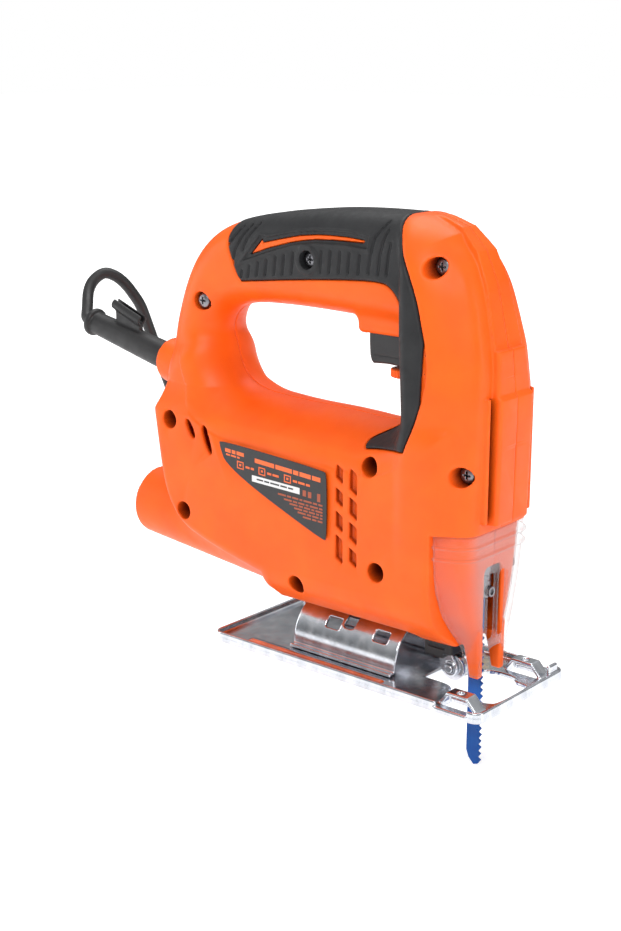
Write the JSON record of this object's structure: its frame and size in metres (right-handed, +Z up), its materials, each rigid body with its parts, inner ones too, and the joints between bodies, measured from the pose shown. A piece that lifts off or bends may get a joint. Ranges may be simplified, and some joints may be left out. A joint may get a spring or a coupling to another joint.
{
  "type": "corded jigsaw",
  "caption": "Corded jigsaw with a D-handle, clear nose guard, bevelling steel sole plate, roller-guided blade, pendulum lever, internal motor, gear and plunger, and its cord.",
  "frame": {"origin": "middle of the sole plate's underside", "axes": "+X towards the blade end, in the sawing direction; +Y to the tool's left; +Z up, away from the workpiece"},
  "size_m": [0.2801, 0.1305, 0.2389],
  "materials": {
    "orange_shell": "orange moulded plastic, satin",
    "soft_grip": "charcoal soft overmould, fine texture",
    "black_plastic": "black moulded plastic",
    "cord_rubber": "black cord sheath",
    "clear_plastic": "clear polycarbonate",
    "zinc_steel": "bright zinc plate",
    "dark_steel": "oiled dark steel",
    "laminated_steel": "stacked laminations",
    "aluminium": "die cast",
    "copper": "bare and enamelled copper",
    "brass": "turned brass or bronze",
    "carbon": "pressed carbon",
    "blue_paint": "blue lacquered blade steel",
    "label": "printed plastic label"
  },
  "bodies": {
    "housing_body": {"housing_right": "orange_shell", "housing_left": "orange_shell", "grip_right": "soft_grip", "grip_left": "soft_grip", "label_plate": "label", "clear_guard": "clear_plastic", "bevel_clamp_saddle": "dark_steel", "bevel_clamp_screw": "dark_steel", "arm_pivot_pin": "zinc_steel", "fork_guide": "black_plastic", "switch_body": "black_plastic", "trigger_spring": "zinc_steel", "cord_sleeve": "cord_rubber", "cord_clamp": "black_plastic", "bearing_rear": "zinc_steel", "bearing_front": "zinc_steel", "field_core": "laminated_steel", "field_coil_upper": "copper", "field_coil_lower": "copper", "carbon_brush_1": "carbon", "carbon_brush_2": "carbon", "brush_holder_1": "brass", "brush_holder_2": "brass", "gear_bracket": "aluminium", "gear_pin": "zinc_steel", "lower_bush": "brass", "upper_bush": "brass", "power_cord": "cord_rubber", "cord_hank": "cord_rubber", "plug_body": "cord_rubber", "plug_pin_1": "brass", "plug_pin_2": "brass", "screw_handle_rear": "zinc_steel", "screw_handle_top": "zinc_steel", "screw_tower_top": "zinc_steel", "screw_body_rear_top": "zinc_steel", "screw_body_rear_low": "zinc_steel", "screw_body_middle": "zinc_steel", "screw_body_low": "zinc_steel", "screw_body_bottom": "zinc_steel", "screw_gearbox_front": "zinc_steel"},
    "trigger_body": {"trigger": "black_plastic"},
    "dial_body": {"speed_dial": "orange_shell"},
    "lock_body": {"lock_button": "black_plastic"},
    "lever_body": {"pendulum_lever": "black_plastic"},
    "saw_body": {"plunger": "zinc_steel", "blade_clamp": "dark_steel", "clamp_screw": "dark_steel", "saw_blade": "blue_paint"},
    "arm_body": {"roller_arm": "zinc_steel", "roller_pin": "zinc_steel"},
    "roller_body": {"guide_roller": "zinc_steel"},
    "sole_body": {"shoe": "zinc_steel", "bevel_segment": "zinc_steel"},
    "armature_body": {"armature_shaft": "zinc_steel", "armature_core": "laminated_steel", "commutator": "copper", "fan": "black_plastic"},
    "gear_body": {"drive_gear": "zinc_steel"}
  },
  "joints": [
    {"name": "trigger_press", "type": "slide", "parent": "housing_body", "child": "trigger_body", "axis": [0, 0, 1], "range_m": [0, 0.005], "stiffness_N_per_m": 1200, "springref_m": -0.002, "deforming": ["trigger_spring"]},
    {"name": "speed_dial_turn", "type": "hinge", "parent": "trigger_body", "child": "dial_body", "pos_m": [0.011, 0, 0.1335], "axis": [0, 0, 1], "range_deg": [-135, 135]},
    {"name": "lock_button_press", "type": "slide", "parent": "housing_body", "child": "lock_body", "axis": [0, -1, 0], "range_m": [0, 0.0023], "stiffness_N_per_m": 800, "springref_m": -0.001},
    {"name": "pendulum_lever_turn", "type": "hinge", "parent": "housing_body", "child": "lever_body", "pos_m": [0.032, 0.031, 0.045], "axis": [0, 1, 0], "range_deg": [0, 90]},
    {"name": "plunger_stroke", "type": "slide", "parent": "housing_body", "child": "saw_body", "axis": [0, 0, 1], "range_m": [-0.009, 0.009]},
    {"name": "roller_arm_swing", "type": "hinge", "parent": "housing_body", "child": "arm_body", "pos_m": [0.033, 0, 0.034], "axis": [0, 1, 0], "range_deg": [0, 3]},
    {"name": "guide_roller_spin", "type": "hinge", "parent": "arm_body", "child": "roller_body", "pos_m": [0.0403, 0, 0.0072], "axis": [0, 1, 0], "continuous": true},
    {"name": "bevel_tilt", "type": "hinge", "parent": "housing_body", "child": "sole_body", "pos_m": [0, 0, 0.005], "axis": [1, 0, 0], "range_deg": [-45, 45]},
    {"name": "armature_spin", "type": "hinge", "parent": "housing_body", "child": "armature_body", "pos_m": [0, 0, 0.078], "axis": [1, 0, 0], "continuous": true},
    {"name": "drive_gear_spin", "type": "hinge", "parent": "housing_body", "child": "gear_body", "pos_m": [0, 0, 0.098], "axis": [1, 0, 0], "continuous": true}
  ],
  "couplings": [
    {"joint": "drive_gear_spin", "follows": "armature_spin", "ratio": -0.25714}
  ]
}
